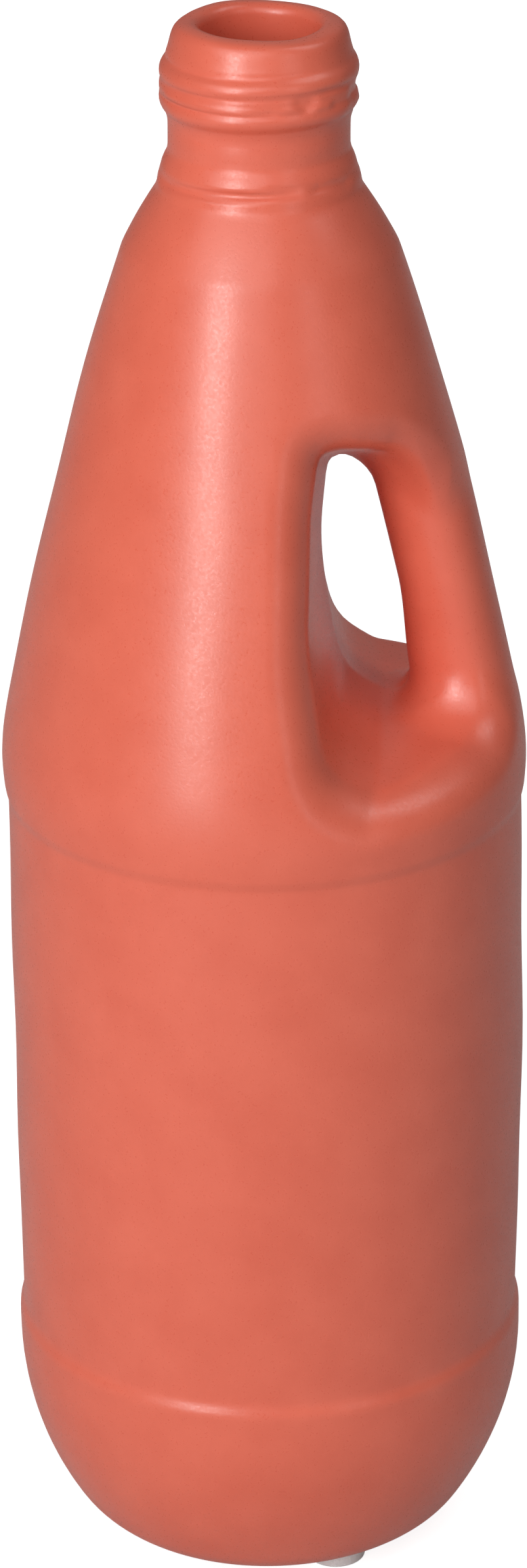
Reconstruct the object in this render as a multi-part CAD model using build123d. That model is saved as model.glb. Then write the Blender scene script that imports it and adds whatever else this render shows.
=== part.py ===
from build123d import *
import os
from math import asin, cos, pi, sin, sqrt

# A slip-cast ceramic vase in the form of a screw-necked bottle with a pinch-through handle.
# Millimetres. +Z is up, Z is the axis of the vase, the handle stands on the +X side and the table is at z = 0.

# Casting: wall, and the tapering base below the collar
wall = 4.2
body_radius = 39.9
toe_radius = 11.0
belly_radius = 50.0
belly_top_height = 31.5
collar_height = 35.2
collar_projection = 0.2
collar_step_height = 1.6

# Casting: the long cylinder, a little drawn in at both ends
cylinder_height = 88.6
cylinder_foot_draw = 0.5
cylinder_head_draw = 0.25

# Casting: shoulder bulge and cone, with (height, radius) shares of the cone's rise and fall
shoulder_projection = 0.45
cone_height = 86.7
cone_top_radius = 20.6
cone_outline_shares = [
    (0.0, 0.97),
    (0.056, 1.0),
    (0.19, 0.922),
    (0.425, 0.695),
    (0.675, 0.425),
    (0.895, 0.148),
    (1.0, 0.0),
]

# Casting: the steeper cap that closes the cone up to the neck
cap_height = 9.3
cap_outline_shares = [(0.0, 1.0), (0.49, 0.55), (1.0, 0.0)]

# Casting: ring at the root of the neck, then the plain neck
root_ring_radius = 15.3
root_ring_height = 3.4
root_crease_radius = 14.2
neck_radius = 13.45
neck_flare_height = 3.8
neck_height = 4.6
bulge_share = 0.75

# Casting: two soft thread ridges and the band that leads to the lip
thread_projection = 1.15
thread_groove_projection = 0.5
lower_ridge_height = 4.0
ridge_gap_height = 0.9
upper_ridge_height = 2.7
band_height = 4.7
band_top_draw = 1.1
lip_height = 1.5

# Handle: finger gap at the mid-plane, measured from the axis of the vase and from the foot of the cone
gap_wall_distance = 8.9
gap_floor_distance = 18.8
gap_roof_distance = 13.0
gap_floor_rise = 15.3
gap_height = 38.8
gap_low_corner_shares = [(1.0, 0.0), (0.475, 0.085), (0.17, 0.3), (0.0, 0.7)]
gap_high_corner_shares = [(0.0, 0.7), (0.15, 0.905), (0.3, 0.968), (1.0, 1.0)]

# Handle: how far the gap opens between the mid-plane and the widest point of the body
gap_wall_flare = 1.6
gap_floor_flare = 6.0
gap_roof_flare = 18.0

# Handle: the hollow bar, a nearly round rod that follows the outline of the cone
bar_depth = 14.8
bar_section_half_depth = 9.0
bar_half_width = 8.6

# Feet: round clear bumpers, each on its own adhesive disc
foot_count = 3
foot_radius = 4.7
foot_height = 2.8
foot_edge_radius = 0.4
foot_circle_radius = 20.6
first_foot_angle = -58.0
full_turn_angle = 360.0
adhesive_thickness = 0.2
adhesive_setback = 0.1

# One overrun serves every cut
overrun = 6.0

# Radii and heights that follow, heights being above the base of the casting
bore_radius = neck_radius - wall
collar_radius = body_radius + collar_projection
shoulder_radius = body_radius + shoulder_projection
cylinder_foot = collar_height + collar_step_height
cone_foot = cylinder_foot + cylinder_height
cone_top = cone_foot + cone_height
cap_top = cone_top + cap_height
root_ring_top = cap_top + root_ring_height
neck_foot = root_ring_top + neck_flare_height
thread_foot = neck_foot + neck_height
lower_ridge_top = thread_foot + lower_ridge_height
upper_ridge_foot = lower_ridge_top + ridge_gap_height
upper_ridge_top = upper_ridge_foot + upper_ridge_height
band_top = upper_ridge_top + band_height
lip_top = band_top + lip_height
gap_floor = cone_foot + gap_floor_rise
seat_height = foot_height + adhesive_thickness
reach = shoulder_radius + overrun


def base_outline(inset):
    """Flat bottom, rounded toe, belly and collar, moved inwards by inset."""
    toe_arm = belly_radius - toe_radius
    drop = belly_top_height - toe_radius
    belly_centre = collar_radius - belly_radius
    toe_centre = belly_centre + sqrt(toe_arm ** 2 - drop ** 2)
    belly_turn = asin(drop / toe_arm)
    toe_turn = (pi / 2 + belly_turn) / 2
    toe = toe_radius - inset
    belly = belly_radius - inset
    toe_start = (toe_centre, inset)
    toe_middle = (toe_centre + toe * cos(toe_turn), toe_radius - toe * sin(toe_turn))
    meeting = (toe_centre + toe * cos(belly_turn), toe_radius - toe * sin(belly_turn))
    belly_middle = (
        belly_centre + belly * cos(belly_turn / 2),
        belly_top_height - belly * sin(belly_turn / 2),
    )
    belly_top = (collar_radius - inset, belly_top_height)
    collar_top = (collar_radius - inset, collar_height)
    cylinder_start = (body_radius - cylinder_foot_draw - inset, cylinder_foot)
    return [
        Line((0, inset), toe_start),
        ThreePointArc(toe_start, toe_middle, meeting),
        ThreePointArc(meeting, belly_middle, belly_top),
        Line(belly_top, collar_top),
        Line(collar_top, cylinder_start),
    ]


def cone_points(inset):
    """Points of the shoulder and cone outline, moved towards the axis by inset."""
    fall = shoulder_radius - cone_top_radius
    return [
        (cone_top_radius + radius_share * fall - inset, cone_foot + height_share * cone_height)
        for height_share, radius_share in cone_outline_shares
    ]


def trunk_outline(inset, root_radius):
    """Cylinder, shoulder, cone and cap, closing to root_radius at the neck."""
    foot = (body_radius - cylinder_foot_draw - inset, cylinder_foot)
    middle = (body_radius - inset, cylinder_foot + cylinder_height / 2)
    head = (body_radius - cylinder_head_draw - inset, cone_foot)
    shoulder = cone_points(inset)
    cap_fall = cone_top_radius - inset - root_radius
    cap = [
        (root_radius + radius_share * cap_fall, cone_top + height_share * cap_height)
        for height_share, radius_share in cap_outline_shares
    ]
    return [
        ThreePointArc(foot, middle, head),
        Line(head, shoulder[0]),
        Spline(shoulder),
        Spline(cap),
    ]


def bulging(start, end):
    """An arc from start up to end that bulges away from the axis."""
    radius = end[0] + bulge_share * (start[0] - end[0])
    height = (start[1] + end[1]) / 2
    return ThreePointArc(start, (radius, height), end)


def ridge(start_radius, start_height, end_height):
    """One soft thread ridge, from start_radius up to the groove radius."""
    groove_radius = neck_radius + thread_groove_projection
    crest = (neck_radius + thread_projection, (start_height + end_height) / 2)
    return ThreePointArc((start_radius, start_height), crest, (groove_radius, end_height))


def neck_outline():
    """Root ring, plain neck, two thread ridges and the band, up to the lip."""
    groove_radius = neck_radius + thread_groove_projection
    crease = (root_crease_radius, root_ring_top)
    flare_end = (neck_radius, neck_foot)
    band_start = (groove_radius, upper_ridge_top)
    band_middle = (neck_radius, upper_ridge_top + band_height / 2)
    band_end = (neck_radius - band_top_draw, band_top)
    return [
        bulging((root_ring_radius, cap_top), crease),
        bulging(crease, flare_end),
        Line(flare_end, (neck_radius, thread_foot)),
        ridge(neck_radius, thread_foot, lower_ridge_top),
        Line((groove_radius, lower_ridge_top), (groove_radius, upper_ridge_foot)),
        ridge(groove_radius, upper_ridge_foot, upper_ridge_top),
        ThreePointArc(band_start, band_middle, band_end),
    ]


def turned(edges):
    """A closed outline in the XZ plane, turned about the axis of the vase."""
    return revolve(Plane.XZ * make_face(edges), Axis.Z)


def outer_turning():
    """Outside of the casting before the handle is pinched in, solid up to the rounded lip."""
    lip_outer = (neck_radius - band_top_draw, band_top)
    lip_inner = (bore_radius, band_top)
    lip_crest = ((lip_outer[0] + lip_inner[0]) / 2, lip_top)
    edges = base_outline(0) + trunk_outline(0, root_ring_radius) + neck_outline()
    edges += [
        ThreePointArc(lip_outer, lip_crest, lip_inner),
        Line(lip_inner, (0, band_top)),
        Line((0, band_top), (0, 0)),
    ]
    return turned(edges)


def inner_turning():
    """Space inside the casting, open at the mouth."""
    mouth_top = lip_top + overrun
    edges = base_outline(wall) + trunk_outline(wall, bore_radius)
    edges += [
        Line((bore_radius, cap_top), (bore_radius, mouth_top)),
        Line((bore_radius, mouth_top), (0, mouth_top)),
        Line((0, mouth_top), (0, wall)),
    ]
    return turned(edges)


def gap_section(flare_share, growth):
    """Outline of the finger gap, open to +X, at a share of the way from the mid-plane to the front."""
    wall_x = gap_wall_distance - flare_share * gap_wall_flare - growth
    floor_z = gap_floor - flare_share * gap_floor_flare - growth
    rise = gap_height + flare_share * (gap_floor_flare + gap_roof_flare) + 2 * growth
    low_corner = [
        (wall_x + x_share * (gap_floor_distance - wall_x), floor_z + z_share * rise)
        for x_share, z_share in gap_low_corner_shares
    ]
    high_corner = [
        (wall_x + x_share * (gap_roof_distance - wall_x), floor_z + z_share * rise)
        for x_share, z_share in gap_high_corner_shares
    ]
    far_low = (reach, floor_z)
    far_high = (reach, floor_z + rise)
    edges = [
        Line(far_low, low_corner[0]),
        Spline(low_corner, tangents=((-1, 0), (0, 1))),
        Spline(high_corner, tangents=((0, 1), (1, 0))),
        Line(high_corner[-1], far_high),
        Line(far_high, far_low),
    ]
    return Plane.XZ.offset(flare_share * reach) * make_face(edges)


def gap_space(growth):
    """The finger gap with both flares, as if there were no bar; growth widens it all round."""
    front = loft([gap_section(0, growth), gap_section(1, growth)], ruled=True)
    return front + mirror(front, about=Plane.XZ)


def bar_blank(shrink):
    """A rod of oval section along the outline of the cone; the cone trims its outer side."""
    path = Plane.XZ * Spline(cone_points(bar_depth - bar_section_half_depth))
    start = Plane(origin=path @ 0, x_dir=(0, 1, 0), z_dir=path % 0)
    section = start * Ellipse(bar_half_width - shrink, bar_section_half_depth - shrink)
    return sweep(section, path)


def handled(turning, growth):
    """A turned form with the handle pinched into it."""
    return turning - (gap_space(growth) - bar_blank(growth))


def vase_body():
    """The whole hollow casting, raised onto its feet."""
    shell = handled(outer_turning(), 0) - handled(inner_turning(), wall)
    return Pos(0, 0, seat_height) * shell


def foot_bumper():
    """One round bumper with softened edges, on the table at the axis."""
    puck = extrude(Circle(foot_radius), foot_height)
    return fillet(puck.edges().filter_by(GeomType.CIRCLE), foot_edge_radius)


def foot_adhesive():
    """The thin disc that bonds one bumper to the flat bottom of the casting."""
    disc_radius = foot_radius - foot_edge_radius - adhesive_setback
    return Pos(0, 0, foot_height) * extrude(Circle(disc_radius), adhesive_thickness)


os.makedirs("parts", exist_ok=True)
export_step(vase_body(), "parts/vase_body.step")
for index in range(foot_count):
    angle = first_foot_angle + index * full_turn_angle / foot_count
    place = Rot(0, 0, angle) * Pos(foot_circle_radius, 0, 0)
    export_step(place * foot_bumper(), f"parts/foot_bumper_{index + 1}.step")
    export_step(place * foot_adhesive(), f"parts/foot_adhesive_{index + 1}.step")
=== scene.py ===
import bpy
import numpy as np
from math import asin, cos, pi, radians, sin, sqrt
from mathutils import Matrix, Vector
from mathutils.kdtree import KDTree


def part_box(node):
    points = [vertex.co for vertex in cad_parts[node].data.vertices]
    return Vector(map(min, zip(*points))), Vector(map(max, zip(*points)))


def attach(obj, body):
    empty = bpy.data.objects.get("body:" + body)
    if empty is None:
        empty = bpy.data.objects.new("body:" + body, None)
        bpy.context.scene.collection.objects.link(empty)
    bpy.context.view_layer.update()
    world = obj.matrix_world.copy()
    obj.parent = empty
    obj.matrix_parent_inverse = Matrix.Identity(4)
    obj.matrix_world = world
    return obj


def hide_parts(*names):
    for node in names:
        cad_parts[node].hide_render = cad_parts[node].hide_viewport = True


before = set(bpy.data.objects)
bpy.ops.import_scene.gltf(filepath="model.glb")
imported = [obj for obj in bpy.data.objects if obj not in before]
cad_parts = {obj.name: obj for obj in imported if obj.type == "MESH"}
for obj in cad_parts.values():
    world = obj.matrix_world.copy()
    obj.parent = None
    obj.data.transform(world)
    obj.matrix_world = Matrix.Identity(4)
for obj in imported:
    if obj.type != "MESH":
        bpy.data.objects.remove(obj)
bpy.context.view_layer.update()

# Lengths are millimetres in the frame of the part where nothing else is said, and MM is one of them in metres
MM = 0.001
casting_low, casting_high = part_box("vase_body")
base_height = casting_low[2] / MM
lip_top = casting_high[2] / MM

# Casting: wall, tapering base, collar and cylinder
wall = 4.2
body_radius = 39.9
toe_radius = 10.9
belly_radius = 50.0
belly_rise = 31.5
collar_rise = 35.2
collar_projection = 0.2
collar_step = 1.6
cylinder_length = 88.6
cylinder_foot_draw = 0.5
cylinder_head_draw = 0.3

# Casting: shoulder, cone and cap. The tables hold shares of the form's length and of its fall in radius.
shoulder_projection = 0.45
cone_length = 86.7
cone_top_radius = 20.6
cone_outline_shares = [
    (0.0, 0.982),
    (0.056, 1.0),
    (0.19, 0.922),
    (0.425, 0.695),
    (0.675, 0.425),
    (0.895, 0.148),
    (1.0, 0.0),
]
cap_length = 9.3
cap_outline_shares = [(0.0, 1.0), (0.49, 0.55), (1.0, 0.0)]

# Casting: root ring, neck and lip, with the bead that narrows the bore under the lip
root_ring_radius = 15.15
root_ring_length = 2.7
root_crease_radius = 14.6
neck_radius = 13.45
neck_flare_length = 3.0
ring_bulge_share = 0.75
flare_bulge_share = 0.42
lip_rounding = 1.6
lip_bead = 0.5
lip_bead_drop = 3.6
lip_bead_half_length = 7.5

# Lip and thread outline, as (radius less the neck's, drop below the top of the lip)
thread_outline = [
    (0.0, 15.9),
    (0.08, 15.0),
    (0.5, 13.9),
    (0.6, 6.4),
    (-0.1, 4.1),
    (-0.6, 2.2),
    (-1.2, 1.4),
    (-2.0, 1.15),
    (-3.0, 1.1),
]

# Worn ridges, creases and knocks of the thread. Each has its first and last angle in degrees, counted from
# the front towards the handle, its drop below the lip at both ends, its half width and its projection.
thread_marks = [
    (-180, 180, 7.4, 7.4, 1.4, 0.5),
    (-180, 180, 12.5, 12.5, 1.4, 0.55),
    (-58, -10, 10.2, 10.7, 0.65, 0.28),
    (15, 21, 10.7, 10.7, 0.7, 0.3),
    (36, 42, 10.8, 10.8, 0.7, 0.35),
    (26, 31, 9.7, 9.7, 1.2, -0.35),
    (44, 66, 8.7, 8.9, 0.6, -0.2),
    (-75, 18, 6.0, 5.95, 0.7, -0.2),
    (-80, 45, 8.95, 8.5, 0.45, -0.15),
    (-70, 10, 10.95, 11.05, 0.4, -0.2),
    (74, 106, 10.7, 10.7, 1.9, -0.55),
    (70, 110, 12.9, 12.9, 1.3, -0.3),
    (70, 110, 7.4, 7.4, 1.4, -0.2),
    (-110, -70, 7.4, 7.4, 1.4, -0.15),
    (-110, -70, 12.7, 12.7, 1.4, -0.25),
    (-120, -68, 10.0, 10.0, 1.6, 0.1),
    (128, 172, 9.6, 10.4, 0.8, 0.35),
    (-172, -140, 6.0, 6.0, 0.5, -0.28),
    (-180, 180, 21.5, 21.5, 1.3, 0.2),
    (-62, 12, 23.6, 23.0, 0.85, -0.6),
    (38, 60, 23.2, 23.7, 0.9, -0.35),
    (-40, 40, 17.5, 17.5, 1.6, 0.08),
    (150, 200, 22.9, 22.9, 0.75, -0.35),
]

# How far the thread stands higher at the handle and lower opposite it, and over what angle in degrees a mark
# fades out at its ends: a plain part, and a share of half the mark's angle
thread_tilt = 0.2
mark_fade = 7.0
mark_fade_share = 0.45

# Slow swells of the lip, as (waves round it, height, phase in degrees), and how far down they reach
lip_waves = [(1, 0.14, -90), (1, 0.08, 180), (3, 0.16, 240), (5, 0.08, 10)]
lip_wave_reach = 6.0

# Slow swells of the whole wall, as (waves round it, length up it, phase in degrees), and the height of each
wall_waves = [(2, 130, 20), (3, 74, 140), (5, 47, 260), (1, 31, 75)]
wall_wave_height = 0.06

# The sideways sway that the kiln left, as (share of the height, sideways place)
sway_points = [
    (0.0, 0.0),
    (0.2, 0.2),
    (0.46, 0.06),
    (0.58, -0.18),
    (0.78, -0.02),
    (0.92, -0.25),
    (0.97, -0.1),
    (1.0, 0.15),
]

# Finger gap at the mid-plane, and how it opens towards the front and the back. The tables hold shares of the
# corner's reach outwards and of the gap's length.
gap_wall_distance = 8.9
gap_floor_distance = 18.8
gap_roof_distance = 13.0
gap_floor_rise = 15.3
gap_length = 38.8
gap_low_corner_shares = [(1.0, 0.0), (0.475, 0.085), (0.17, 0.3), (0.0, 0.7)]
gap_high_corner_shares = [(0.15, 0.902), (0.32, 0.972), (1.0, 1.003)]
gap_waist_share = 0.7
gap_wall_slope = 0.055
gap_floor_slope = 0.135
gap_roof_slope = 0.385
gap_rim_rounding = 6.0
gap_crest_rounding = 0.6

# Bar of the handle, an oval rod that is thicker at its foot
bar_depth = 14.2
bar_section_half_depth = 9.0
bar_half_width = 8.6
bar_foot_growth = 1.6
bar_foot_length = 19.0
bar_foot_rounding = 3.5
bar_foot_front_rounding = 8.0
bar_head_rounding = 5.0
bar_head_front_rounding = 12.0
bar_rim_rounding = 5.0

# Heights and radii that follow, in the frame
belly_top = base_height + belly_rise
collar_top = base_height + collar_rise
cylinder_foot = collar_top + collar_step
cone_foot = cylinder_foot + cylinder_length
cone_top = cone_foot + cone_length
cap_top = cone_top + cap_length
root_ring_top = cap_top + root_ring_length
neck_foot = root_ring_top + neck_flare_length
bore_radius = neck_radius - wall
shoulder_radius = body_radius + shoulder_projection
collar_radius = body_radius + collar_projection
gap_floor = cone_foot + gap_floor_rise
gap_roof = gap_floor + gap_length
gap_waist = gap_floor + gap_waist_share * gap_length
thread_foot = lip_top - thread_outline[0][1]

# Sampled outlines: their step, the length over which their corners are eased, and how many such lengths the
# easing reaches
outline_step = 0.15
outline_softening = 0.5
softening_reach = 3

# Distance tables: their step, their margin round the form, and how far short of its count of entries a table
# is read, so that one more entry follows. Slopes of the form are taken over a step of their own.
table_step = 0.25
table_margin = 5.0
table_shortfall = 1.001
slope_step = 0.35

# Grid of the casting's mesh round the axis, in degrees: half the finer side at the handle, the step there and
# the step elsewhere
fine_side_turn = 66
fine_turn_step = 1.4
plain_turn_step = 3

# Grid of the casting's mesh outwards, as (distance, step beyond it), and upwards, as (height, offset from it,
# step above it), closer where the form is finer
grid_margin = 1.0
out_stops = [(0.4, 2.4), (8.0, 1.0), (shoulder_radius + grid_margin, 0.0)]
up_stops = [
    (base_height, -1.3, 0.8),
    (base_height + toe_radius, 0.0, 2.4),
    (belly_top, -1.0, 0.6),
    (cylinder_foot, 1.5, 5.0),
    (cone_foot, -3.0, 0.75),
    (cone_foot, 9.0, 1.4),
    (cone_top, -3.0, 0.8),
    (neck_foot, 0.0, 0.9),
    (thread_foot, 0.0, 0.47),
    (lip_top, grid_margin, 0.0),
]

# How often the mesh's points are moved onto the form, and the least squared slope that a move is divided by
projection_rounds = 3
least_steepness = 0.2

# The part of a noise that is spread over a material's range
noise_low = 0.3
noise_high = 0.7

# Glaze: its shades, its mottle, its grain and its gloss
glaze_shades = ((0.77, 0.142, 0.083), (0.82, 0.163, 0.098))
mottle_size = 9.0
mottle_detail = 4
grain_size = 0.45
grain_detail = 2
grain_height = 0.05
grain_strength = 0.35
glaze_roughness = (0.26, 0.4)
glaze_specular_level = 0.65

# Clear, slightly milky rubber of the bumpers
rubber_shades = ((0.92, 0.87, 0.86), (0.96, 0.92, 0.91))
rubber_cloud_size = 1.5
rubber_cloud_detail = 3
rubber_roughness = (0.18, 0.3)
rubber_clear_share = 0.12
rubber_refraction = 1.45

# Adhesive under the base
adhesive_shades = ((0.7, 0.7, 0.66), (0.8, 0.8, 0.77))
adhesive_cloud_size = 0.8
adhesive_cloud_detail = 2
adhesive_roughness = 0.15

# Floor: half its side in metres, its paper, and how much of white it is lifted to as a background, near the
# vase and far from it, with the two distances in metres
floor_half = 8.0
floor_shades = ((0.5, 0.5, 0.5), (0.53, 0.53, 0.53))
floor_cloud_size = 40.0
floor_cloud_detail = 2
floor_roughness = 0.9
floor_specular_level = 0.1
lift_distances = (0.3, 1.5)
lift_shares = (0.86, 1.0)

# Background: how much of it mirrored rays see, its strength as light on the vase, and its strength where it
# is seen, which is white
mirrored_share = 0.1
world_light = 0.06
seen_white = 1.0

# Soft lamps, in degrees and metres: the turn from the front towards the handle, the rise above level, the
# distance from the point they face, the width and height, and the radiance
lamp_aim = (0, 0, 0.15)
softboxes = {
    "key_strip": (-29.5, 16, 1.2, (0.32, 0.8), 8.7),
    "side_strip": (39, 16, 1.2, (0.3, 0.8), 1.2),
    "overhead_box": (-25, 36, 1.4, (1.7, 1.1), 1.65),
    "handle_box": (85, 54, 1.2, (0.4, 0.6), 2.5),
    "back_fill": (180, 30, 1.4, (1.2, 0.8), 1.7),
}

# Camera: its distance from the axis, its height, its shift to the left, its angles in degrees, half the
# picture's height and its focal length in pixels, its sensor, and the nearest that it sees
camera_distance = 748.4
camera_height = 459.7
camera_shift = 0.26
camera_turn = 1.5
camera_pitch = 23.924
camera_roll = -0.43
half_height_pixels = 1195
focal_pixels = 8077
sensor_height = 24
nearest_seen = 10.0


def natural_spline(points):
    """A smooth curve through the points, sampled at the outline's step."""
    points = np.array(points, float)
    lengths = np.hypot(*np.diff(points, axis=0).T)
    knots = np.concatenate([[0], np.cumsum(lengths)])
    count = len(points)
    system = np.eye(count)
    right = np.zeros((count, 2))
    for i in range(1, count - 1):
        system[i, i - 1:i + 2] = lengths[i - 1], 2 * (lengths[i - 1] + lengths[i]), lengths[i]
        steps = (points[i + 1] - points[i]) / lengths[i] - (points[i] - points[i - 1]) / lengths[i - 1]
        right[i] = 6 * steps
    bends = np.linalg.solve(system, right)
    along = np.arange(0, knots[-1], outline_step)
    span = np.clip(np.searchsorted(knots, along, side="right") - 1, 0, count - 2)
    length = lengths[span][:, None]
    after = (along - knots[span])[:, None]
    before = length - after
    cubic = (bends[span] * before ** 3 + bends[span + 1] * after ** 3) / (6 * length)
    first = (points[span] / length - bends[span] * length / 6) * before
    second = (points[span + 1] / length - bends[span + 1] * length / 6) * after
    return cubic + first + second


def arc(centre, radius, start, end):
    """Points round a centre, from one angle to another, in radians."""
    angles = np.arange(start, end, np.sign(end - start) * outline_step / radius)
    return np.stack([centre[0] + radius * np.cos(angles), centre[1] + radius * np.sin(angles)], axis=1)


def straight(start, end):
    """Points along a straight run."""
    start, end = np.array(start, float), np.array(end, float)
    count = max(2, int(np.hypot(*(end - start)) / outline_step))
    return start + (end - start) * np.linspace(0, 1, count, endpoint=False)[:, None]


def softened(outline):
    """The outline as the glaze leaves it, with its corners eased."""
    width = int(softening_reach * outline_softening / outline_step)
    offsets = np.arange(-width, width + 1)
    weights = np.exp(-((offsets * outline_step / outline_softening) ** 2) / 2)
    weights /= weights.sum()
    before = np.repeat(outline[:1], width, axis=0)
    after = np.repeat(outline[-1:], width, axis=0)
    padded = np.concatenate([before, outline, after])
    return np.stack([np.convolve(column, weights, mode="valid") for column in padded.T], axis=1)


def taper(shares, foot, length, narrow, wide):
    """Points up a tapering form as (radius, height)."""
    return [
        (narrow + radius_share * (wide - narrow), foot + height_share * length)
        for height_share, radius_share in shares
    ]


def cone_points():
    """Points of the shoulder and the cone, as (radius, height)."""
    return taper(cone_outline_shares, cone_foot, cone_length, cone_top_radius, shoulder_radius)


def base_runs(cylinder_start):
    """Runs of the outline over the flat base, the toe, the belly and the collar."""
    toe_arm = belly_radius - toe_radius
    drop = belly_rise - toe_radius
    belly_centre = (collar_radius - belly_radius, belly_top)
    toe_centre = (belly_centre[0] + sqrt(toe_arm ** 2 - drop ** 2), base_height + toe_radius)
    belly_turn = asin(drop / toe_arm)
    return [
        straight((0, base_height), (toe_centre[0], base_height)),
        arc(toe_centre, toe_radius, -pi / 2, -belly_turn),
        arc(belly_centre, belly_radius, -belly_turn, 0),
        straight((collar_radius, belly_top), (collar_radius, collar_top)),
        straight((collar_radius, collar_top), cylinder_start),
    ]


def neck_runs(cap_end):
    """Runs of the outline over the root ring, the crease above it, the neck, its thread and the lip."""
    ring_fall = root_ring_radius - root_crease_radius
    ring_bulge = (root_crease_radius + ring_bulge_share * ring_fall, cap_top + root_ring_length / 2)
    crease = (root_crease_radius, root_ring_top)
    flare_fall = root_crease_radius - neck_radius
    flare_bulge = (neck_radius + flare_bulge_share * flare_fall, root_ring_top + neck_flare_length / 2)
    flare_end = (neck_radius, neck_foot)
    thread = [(neck_radius + outwards, lip_top - drop) for outwards, drop in thread_outline]
    return [
        natural_spline([cap_end, ring_bulge, crease]),
        natural_spline([crease, flare_bulge, flare_end]),
        straight(flare_end, thread[0]),
        natural_spline(thread),
        straight(thread[-1], (0, lip_top)),
    ]


def casting_outline():
    """The turned outline from the middle of the base up to the top of the lip."""
    cylinder = [
        (body_radius - cylinder_foot_draw, cylinder_foot),
        (body_radius, cylinder_foot + cylinder_length / 2),
        (body_radius - cylinder_head_draw, cone_foot),
    ]
    cap = taper(cap_outline_shares, cone_top, cap_length, root_ring_radius, cone_top_radius)
    smooth_runs = [natural_spline(cylinder), natural_spline(cone_points()), natural_spline(cap)]
    return softened(np.concatenate(base_runs(cylinder[0]) + smooth_runs + neck_runs(cap[-1])))


def gap_corner(shares, outer_distance):
    """Points of one corner of the finger gap, as (distance, height)."""
    reach = outer_distance - gap_wall_distance
    return [
        (gap_wall_distance + distance_share * reach, gap_floor + height_share * gap_length)
        for distance_share, height_share in shares
    ]


def gap_outline():
    """The finger gap at the mid-plane as (distance, height), open towards the outside."""
    low = gap_corner(gap_low_corner_shares, gap_floor_distance)
    high = gap_corner(gap_high_corner_shares, gap_roof_distance)
    open_end = 2 * shoulder_radius
    runs = [
        straight((open_end, gap_floor), low[0]),
        natural_spline(low + high),
        straight(high[-1], (open_end, gap_roof)),
    ]
    return softened(np.concatenate(runs))


class DistanceTable:
    """Signed distance to an open outline in a plane, positive on the right of its direction."""

    def __init__(self, outline, low, high):
        self.low = np.array(low, float)
        counts = np.ceil((np.array(high, float) - self.low) / table_step).astype(int) + 1
        first = self.low[0] + table_step * np.arange(counts[0])
        second = self.low[1] + table_step * np.arange(counts[1])
        tree = KDTree(len(outline))
        for index, (u, v) in enumerate(outline):
            tree.insert((u, v, 0), index)
        tree.balance()
        points = np.stack(np.meshgrid(first, second, indexing="ij"), axis=-1).reshape(-1, 2)
        nearest = np.array([tree.find((u, v, 0))[1] for u, v in points.tolist()])
        self.values = self.to_segments(points, nearest, outline).reshape(counts)

    @staticmethod
    def to_segments(points, nearest, outline):
        """The signed distance to the nearer of the two segments that meet at the nearest outline point."""
        best = np.full(len(points), np.inf)
        for shift in (-1, 0):
            start = np.clip(nearest + shift, 0, len(outline) - 2)
            origin = outline[start]
            along = outline[start + 1] - origin
            length = np.hypot(along[:, 0], along[:, 1])
            away = points - origin
            share = np.clip((away * along).sum(axis=1) / length ** 2, 0, 1)
            gap = away - along * share[:, None]
            distance = np.hypot(gap[:, 0], gap[:, 1])
            side = np.sign(along[:, 1] * away[:, 0] - along[:, 0] * away[:, 1])
            better = distance < np.abs(best)
            best[better] = (side * distance)[better]
        return best

    def __call__(self, u, v):
        """The distance at many points, read between the table's entries."""
        values = self.values
        a = np.clip((u - self.low[0]) / table_step, 0, values.shape[0] - table_shortfall)
        b = np.clip((v - self.low[1]) / table_step, 0, values.shape[1] - table_shortfall)
        i, j = a.astype(int), b.astype(int)
        p, q = a - i, b - j
        low_edge = values[i, j] * (1 - p) + values[i + 1, j] * p
        high_edge = values[i, j + 1] * (1 - p) + values[i + 1, j + 1] * p
        return low_edge * (1 - q) + high_edge * q


def rounded_common(a, b, radius):
    """What lies in both forms, with the edge between them rounded off."""
    corner = np.hypot(np.maximum(radius + a, 0), np.maximum(radius + b, 0))
    return np.minimum(-radius, np.maximum(a, b)) + corner


def rounded_union(a, b, radius):
    """What lies in either form, with a fillet where they meet."""
    return -rounded_common(-a, -b, radius)


def thread_relief(turn, z):
    """How far the worn thread stands out from its outline, at angles in degrees."""
    relief = np.zeros_like(z)
    tilt = thread_tilt * np.sin(np.radians(turn))
    for first, last, first_drop, last_drop, half_width, projection in thread_marks:
        half = (last - first) / 2
        away = (turn - first - half + 180) % 360 - 180
        along = np.clip(away / half, -1, 1)
        drop = (first_drop + last_drop) / 2 + along * (last_drop - first_drop) / 2 - tilt
        across = (lip_top - z - drop) / half_width
        fade = mark_fade + mark_fade_share * half
        end = np.clip((half + fade - np.abs(away)) / fade, 0, 1)
        relief += projection * np.clip(1 - across ** 2, 0, 1) * end ** 2 * (3 - 2 * end)
    return relief


def lip_swell(turn):
    """How far the slow swells lift the lip, at angles in degrees."""
    return sum(height * np.cos(np.radians(count * turn - phase)) for count, height, phase in lip_waves)


def wall_swell(turn, z):
    """How far the slow swells push the cast wall out, at angles in degrees."""
    swell = np.zeros_like(z)
    for count, length, phase in wall_waves:
        swell += np.cos(np.radians(count * turn - phase)) * np.cos(2 * pi * z / length + radians(phase))
    return wall_wave_height * swell


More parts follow.
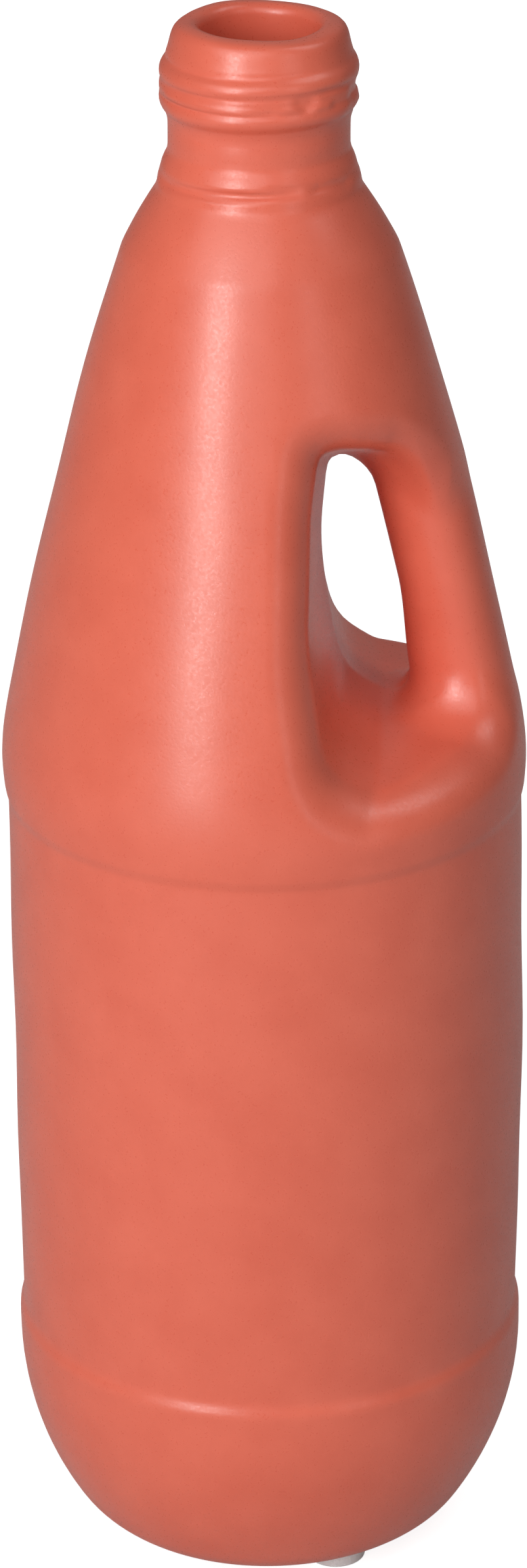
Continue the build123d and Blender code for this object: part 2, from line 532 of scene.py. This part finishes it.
class Casting:
    """The vase as a signed distance, negative inside the ceramic."""

    def __init__(self):
        low = (0, base_height - table_margin)
        high = (shoulder_radius + table_margin, lip_top + table_margin)
        self.turned = DistanceTable(casting_outline(), low, high)
        gap_low = (-shoulder_radius - table_margin, base_height - table_margin)
        self.gap = DistanceTable(gap_outline(), gap_low, high)
        cone = natural_spline(cone_points())
        self.cone_heights = cone[:, 1]
        self.cone_radii = cone[:, 0]
        self.cone_slopes = np.gradient(self.cone_radii, self.cone_heights)
        sway = natural_spline([(share * (lip_top - base_height), place) for share, place in sway_points])
        self.sway_heights = base_height + sway[:, 0]
        self.sway_places = sway[:, 1]

    def gap_sides(self, x, y, z):
        """The solid round the finger gap, which opens towards the front and the back."""
        depth = np.hypot(y, gap_crest_rounding) - gap_crest_rounding
        section_x = x + depth * gap_wall_slope
        below = np.minimum(z + depth * gap_floor_slope, gap_waist)
        above = np.maximum(z - depth * gap_roof_slope, gap_waist)
        section_z = below + above - gap_waist
        gap = self.gap(section_x, section_z)
        ahead = self.gap(section_x, section_z + slope_step) - self.gap(section_x, section_z - slope_step)
        leaning = np.where(z > gap_waist, gap_roof_slope, gap_floor_slope) * ahead / (2 * slope_step)
        return gap / np.sqrt(1 + leaning ** 2)

    def bar(self, x, y, z):
        """The oval rod of the handle, which follows the outline of the cone."""
        radius = np.interp(z, self.cone_heights, self.cone_radii)
        slope = np.interp(z, self.cone_heights, self.cone_slopes)
        growth = bar_foot_growth * (1 - np.clip((z - gap_floor) / bar_foot_length, 0, 1) ** 2) ** 2
        half_depth = bar_section_half_depth + growth / 2
        inward = (x - radius + bar_depth + growth - half_depth) / np.sqrt(1 + slope ** 2)
        near = np.hypot(y / bar_half_width, inward / half_depth)
        far = np.hypot(y / bar_half_width ** 2, inward / half_depth ** 2)
        return near * (near - 1) / np.maximum(far, slope_step ** 2 / bar_section_half_depth ** 2)

    def junction_rounding(self, x, y, z):
        """The fillet between the rod and the gap's sides, wider towards the front and the back."""
        radius = np.interp(z, self.cone_heights, self.cone_radii)
        ahead_share = np.clip(np.abs(y) / bar_half_width, 0, 1)
        outer_share = np.clip((x - radius + bar_depth) / bar_section_half_depth, 0, 1)
        foot = bar_foot_rounding + ahead_share * (bar_foot_front_rounding - bar_foot_rounding)
        head_growth = bar_head_front_rounding - bar_head_rounding
        head = bar_head_rounding + ahead_share * outer_share * head_growth
        return foot + np.clip((z - gap_floor) / gap_length, 0, 1) * (head - foot)

    def handle(self, x, y, z):
        """The solid that the pinched handle leaves, and how far its rims are rounded."""
        bar = self.bar(x, y, z)
        away = np.clip(bar / bar_section_half_depth, 0, 1)
        rim = bar_rim_rounding + away * (gap_rim_rounding - bar_rim_rounding)
        return rounded_union(self.gap_sides(x, y, z), bar, self.junction_rounding(x, y, z)), rim

    def outside(self, x, y, z):
        """The outer form, solid right through."""
        turn = np.degrees(np.arctan2(x, -y))
        x = x - np.interp(z, self.sway_heights, self.sway_places)
        lifted = np.clip((z - lip_top + lip_wave_reach) / lip_wave_reach, 0, 1)
        relief = thread_relief(turn, z) + wall_swell(turn, z)
        turned = self.turned(np.hypot(x, y) - relief, z - lifted * lip_swell(turn))
        return rounded_common(turned, *self.handle(x, y, z))

    def __call__(self, x, y, z):
        """The hollow casting, whose chamber closes in a cone at the foot of the bore."""
        outside = self.outside(x, y, z)
        across = (lip_top - z - lip_bead_drop) / lip_bead_half_length
        bead = lip_bead * np.clip(1 - across ** 2, 0, 1) ** 2
        radius = np.hypot(x, y)
        bore = np.maximum(radius - bore_radius + bead, cap_top - z)
        chamber = np.maximum(outside + wall, (z - cap_top + radius - bore_radius) / sqrt(2))
        hollow = np.minimum(chamber, bore)
        return rounded_common(outside, -hollow, lip_rounding)

    def slope(self, points):
        """The gradient at each point."""
        columns = []
        for axis in range(3):
            step = np.zeros(3)
            step[axis] = slope_step
            ahead, behind = points + step, points - step
            columns.append((self(*ahead.T) - self(*behind.T)) / (2 * slope_step))
        return np.stack(columns, axis=1)


def graded(stops):
    """Grid lines from a list of (start, step), ending at the last start."""
    lines = []
    for (start, step), (end, _) in zip(stops, stops[1:]):
        count = max(1, round((end - start) / step))
        lines += list(np.linspace(start, end, count, endpoint=False))
    return np.array(lines + [stops[-1][0]])


def casting_grid():
    """Grid lines round the axis in radians, outwards and upwards."""
    side = radians(fine_side_turn)
    round_stops = [(-side, radians(fine_turn_step)), (side, radians(plain_turn_step)), (2 * pi - side, 0)]
    height_stops = [(height + offset, step) for height, offset, step in up_stops]
    return graded(round_stops)[:-1], graded(out_stops), graded(height_stops)


def cell_corners(field):
    """The values at the eight corners of every cell, by the corner's offset."""
    closed = np.concatenate([field, field[:1]], axis=0)
    turns, outs, ups = field.shape
    corners = {}
    for a, b, c in np.ndindex(2, 2, 2):
        corners[a, b, c] = closed[a:a + turns, b:b + outs - 1, c:c + ups - 1]
    return corners


def crossing_shares(corners, cells):
    """The middle of the places where the surface crosses each cell's edges, as shares of the cell."""
    chosen = tuple(cells.T)
    total = np.zeros((len(cells), 3))
    count = np.zeros(len(cells))
    for start, values in corners.items():
        for axis in range(3):
            if start[axis] == 1:
                continue
            end = tuple(1 if k == axis else start[k] for k in range(3))
            f, g = values[chosen], corners[end][chosen]
            crossed = (f < 0) != (g < 0)
            place = np.array(start, float) + np.zeros((len(cells), 3))
            place[crossed, axis] = (f / np.where(f == g, 1, f - g))[crossed]
            total[crossed] += place[crossed]
            count += crossed
    return total / count[:, None]


def net_vertices(field, grid):
    """One point in each cell that the surface crosses, and the number of each cell's point."""
    corners = cell_corners(field)
    inside = sum((values < 0).astype(np.int8) for values in corners.values())
    cells = np.argwhere((inside > 0) & (inside < len(corners)))
    index = np.full(inside.shape, -1, np.int64)
    index[tuple(cells.T)] = np.arange(len(cells))
    shares = crossing_shares(corners, cells)
    places = []
    for axis, lines in enumerate(grid):
        closed = np.append(lines, lines[0] + 2 * pi) if axis == 0 else lines
        start = closed[cells[:, axis]]
        places.append(start + shares[:, axis] * (closed[cells[:, axis] + 1] - start))
    turn, out, up = places
    return np.stack([out * np.cos(turn), out * np.sin(turn), up], axis=1), index


def net_faces(field, index):
    """A quad round every grid edge that the surface crosses."""
    faces = []
    inside = field < 0
    before = np.roll(index, 1, axis=0)
    changes = [
        (np.roll(inside, -1, axis=0)[:, 1:-1, 1:-1], inside[:, 1:-1, 1:-1]),
        (inside[:, 1:, 1:-1], inside[:, :-1, 1:-1]),
        (inside[:, 1:-1, 1:], inside[:, 1:-1, :-1]),
    ]
    rings = [
        (index[:, :-1, :-1], index[:, :-1, 1:], index[:, 1:, 1:], index[:, 1:, :-1]),
        (index[:, :, :-1], index[:, :, 1:], before[:, :, 1:], before[:, :, :-1]),
        (before[:, :-1, :], before[:, 1:, :], index[:, 1:, :], index[:, :-1, :]),
    ]
    for (ahead, here), ring in zip(changes, rings):
        for towards, order in ((here & ~ahead, 1), (ahead & ~here, -1)):
            chosen = [corner[towards] for corner in ring][::order]
            faces.append(np.stack(chosen, axis=1))
    return np.concatenate(faces)


def middle_discs(index):
    """The rings of points next to the axis, each closed with one face."""
    discs = []
    for layer in range(index.shape[2]):
        ring = index[:, 0, layer]
        if (ring >= 0).all():
            discs.append(ring)
    return discs


def casting_mesh(casting):
    """The casting as one closed mesh, with its points on the exact form."""
    grid = casting_grid()
    turn, out, up = np.meshgrid(*grid, indexing="ij")
    field = casting(out * np.cos(turn), out * np.sin(turn), up)
    points, index = net_vertices(field, grid)
    for _ in range(projection_rounds):
        slope = casting.slope(points)
        steepness = np.maximum((slope ** 2).sum(axis=1), least_steepness)
        points -= slope * (casting(*points.T) / steepness)[:, None]
    slope = casting.slope(points)
    normals = slope / np.linalg.norm(slope, axis=1)[:, None]
    faces = net_faces(field, index).tolist() + [disc.tolist() for disc in middle_discs(index)]
    mesh = bpy.data.meshes.new("vase_casting")
    mesh.from_pydata((points * MM).tolist(), [], faces)
    mesh.polygons.foreach_set("use_smooth", [True] * len(mesh.polygons))
    mesh.validate()
    mesh.normals_split_custom_set_from_vertices(normals.tolist())
    return mesh


def add_object(name, data):
    """A new object at the origin."""
    piece = bpy.data.objects.new(name, data)
    bpy.context.scene.collection.objects.link(piece)
    return piece


def noise(tree, feature, detail):
    """A noise texture in the object's own space, with features of a size in millimetres."""
    place = tree.nodes.new("ShaderNodeTexCoord")
    texture = tree.nodes.new("ShaderNodeTexNoise")
    texture.inputs["Scale"].default_value = 1 / (feature * MM)
    texture.inputs["Detail"].default_value = detail
    tree.links.new(place.outputs["Object"], texture.inputs["Vector"])
    return texture.outputs["Fac"]


def ranged(tree, value, start, end, low, high):
    """A value between start and end turned into one from low to high."""
    node = tree.nodes.new("ShaderNodeMapRange")
    settings = {"From Min": start, "From Max": end, "To Min": low, "To Max": high}
    for name, setting in settings.items():
        node.inputs[name].default_value = setting
    tree.links.new(value, node.inputs["Value"])
    return node.outputs["Result"]


def spread(tree, value, low, high):
    """The middle of a noise spread over a range."""
    return ranged(tree, value, noise_low, noise_high, low, high)


def blended(tree, share, first, second):
    """A colour between two others."""
    node = tree.nodes.new("ShaderNodeMix")
    node.data_type = "RGBA"
    tree.links.new(share, node.inputs["Factor"])
    node.inputs["A"].default_value = (*first, 1)
    node.inputs["B"].default_value = (*second, 1)
    return node.outputs["Result"]


def new_material(name):
    """A new material, with its node tree and its shader."""
    material = bpy.data.materials.new(name)
    material.use_nodes = True
    tree = material.node_tree
    return material, tree, tree.nodes["Principled BSDF"]


def colour_clouded(tree, shader, shades, size, detail):
    """Colours the shader with a cloud of two shades, and returns the cloud."""
    cloud = spread(tree, noise(tree, size, detail), 0, 1)
    tree.links.new(blended(tree, cloud, *shades), shader.inputs["Base Color"])
    return cloud


def coral_glaze():
    """Satin coral glaze, a little mottled, with a fine orange-peel grain."""
    material, tree, shader = new_material("coral_glaze")
    colour_clouded(tree, shader, glaze_shades, mottle_size, mottle_detail)
    grain = noise(tree, grain_size, grain_detail)
    tree.links.new(spread(tree, grain, *glaze_roughness), shader.inputs["Roughness"])
    shader.inputs["Specular IOR Level"].default_value = glaze_specular_level
    bump = tree.nodes.new("ShaderNodeBump")
    bump.inputs["Strength"].default_value = grain_strength
    bump.inputs["Distance"].default_value = grain_height * MM
    tree.links.new(grain, bump.inputs["Height"])
    tree.links.new(bump.outputs["Normal"], shader.inputs["Normal"])
    return material


def clear_rubber():
    """The clear, slightly milky rubber of the bumpers."""
    material, tree, shader = new_material("clear_bumper")
    cloud = colour_clouded(tree, shader, rubber_shades, rubber_cloud_size, rubber_cloud_detail)
    tree.links.new(spread(tree, cloud, *rubber_roughness), shader.inputs["Roughness"])
    shader.inputs["Transmission Weight"].default_value = rubber_clear_share
    shader.inputs["IOR"].default_value = rubber_refraction
    return material


def adhesive_film():
    """The pale, glossy adhesive of the bumpers."""
    material, tree, shader = new_material("adhesive")
    colour_clouded(tree, shader, adhesive_shades, adhesive_cloud_size, adhesive_cloud_detail)
    shader.inputs["Roughness"].default_value = adhesive_roughness
    return material


def paint_feet():
    """Finishes of the bumpers and their adhesive, whose plain solids are the real form."""
    finishes = {"foot_bumper": clear_rubber(), "foot_adhesive": adhesive_film()}
    for name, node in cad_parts.items():
        for start, finish in finishes.items():
            if name.startswith(start):
                node.data.materials.clear()
                node.data.materials.append(finish)


def make_casting():
    """The glazed casting, in place of the plain one."""
    piece = add_object("vase_casting", casting_mesh(Casting()))
    piece.data.materials.append(coral_glaze())
    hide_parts("vase_body")
    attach(piece, "root")


def add_softbox(name, turn, rise, distance, size, radiance):
    """A softbox that faces the lamps' aim and doesn't show to the camera."""
    turn, rise = radians(turn), radians(rise)
    towards = Vector((sin(turn) * cos(rise), -cos(turn) * cos(rise), sin(rise)))
    lamp = bpy.data.lights.new(name, "AREA")
    lamp.shape = "RECTANGLE"
    lamp.size, lamp.size_y = size
    lamp.energy = radiance * pi * size[0] * size[1]
    piece = add_object(name, lamp)
    piece.location = Vector(lamp_aim) + distance * towards
    piece.rotation_euler = towards.to_track_quat("Z", "Y").to_euler()
    piece.visible_camera = False
    return piece


def make_lights():
    """The soft lamps, of which the fill behind the vase isn't mirrored in it."""
    lamps = {name: add_softbox(name, *settings) for name, settings in softboxes.items()}
    lamps["back_fill"].visible_glossy = False


def seen_as_background(tree):
    """1 for rays from the camera and refracted rays, a share for mirrored rays, otherwise 0."""
    path = tree.nodes.new("ShaderNodeLightPath")
    seen = path.outputs["Is Camera Ray"]
    for other, share in (("Is Transmission Ray", 1), ("Is Glossy Ray", mirrored_share)):
        added = tree.nodes.new("ShaderNodeMath")
        added.operation = "MULTIPLY_ADD"
        added.inputs[1].default_value = share
        tree.links.new(path.outputs[other], added.inputs[0])
        tree.links.new(seen, added.inputs[2])
        seen = added.outputs["Value"]
    return seen


def make_world():
    """White as a background, and an even grey light on the object."""
    world = bpy.data.worlds.new("studio")
    bpy.context.scene.world = world
    world.use_nodes = True
    tree = world.node_tree
    background = tree.nodes["Background"]
    background.inputs["Color"].default_value = (1, 1, 1, 1)
    strength = ranged(tree, seen_as_background(tree), 0, 1, world_light, seen_white)
    tree.links.new(strength, background.inputs["Strength"])


def make_camera():
    """The camera of the photograph."""
    turn, pitch, roll = radians(camera_turn), radians(camera_pitch), radians(camera_roll)
    distance, height = camera_distance * MM, camera_height * MM
    data = bpy.data.cameras.new("camera")
    data.sensor_fit = "VERTICAL"
    data.sensor_height = sensor_height
    data.lens = sensor_height / 2 * focal_pixels / half_height_pixels
    data.clip_start = nearest_seen * MM
    camera = add_object("camera", data)
    tilted = Matrix.Rotation(pi / 2 - pitch, 4, "X") @ Matrix.Rotation(roll, 4, "Z")
    place = Vector((distance * sin(turn), -distance * cos(turn), height))
    aside = Vector((cos(turn), sin(turn), 0)) * camera_shift * MM
    camera.matrix_world = Matrix.Translation(place - aside) @ Matrix.Rotation(turn, 4, "Z") @ tilted
    bpy.context.scene.camera = camera


def floor_lift(tree):
    """How much of white the floor adds where it is seen as a background, more with the distance."""
    place = tree.nodes.new("ShaderNodeTexCoord")
    distance = tree.nodes.new("ShaderNodeVectorMath")
    distance.operation = "LENGTH"
    tree.links.new(place.outputs["Object"], distance.inputs[0])
    whiteness = ranged(tree, distance.outputs["Value"], *lift_distances, *lift_shares)
    lift = tree.nodes.new("ShaderNodeMath")
    lift.operation = "MULTIPLY"
    tree.links.new(seen_as_background(tree), lift.inputs[0])
    tree.links.new(whiteness, lift.inputs[1])
    return lift.outputs["Value"]


def floor_paper():
    """The pale paper of the floor, lifted to white as a background."""
    material, tree, shader = new_material("floor")
    colour_clouded(tree, shader, floor_shades, floor_cloud_size, floor_cloud_detail)
    shader.inputs["Roughness"].default_value = floor_roughness
    shader.inputs["Specular IOR Level"].default_value = floor_specular_level
    shader.inputs["Emission Color"].default_value = (1, 1, 1, 1)
    tree.links.new(floor_lift(tree), shader.inputs["Emission Strength"])
    return material


def make_floor():
    """A pale floor that holds the shadow."""
    mesh = bpy.data.meshes.new("floor")
    corners = [(-1, -1), (1, -1), (1, 1), (-1, 1)]
    mesh.from_pydata([(floor_half * a, floor_half * b, 0) for a, b in corners], [], [(0, 1, 2, 3)])
    floor = add_object("floor", mesh)
    mesh.materials.append(floor_paper())


make_casting()
paint_feet()
make_camera()
make_lights()
make_world()
make_floor()
bpy.context.scene.view_settings.view_transform = "Standard"
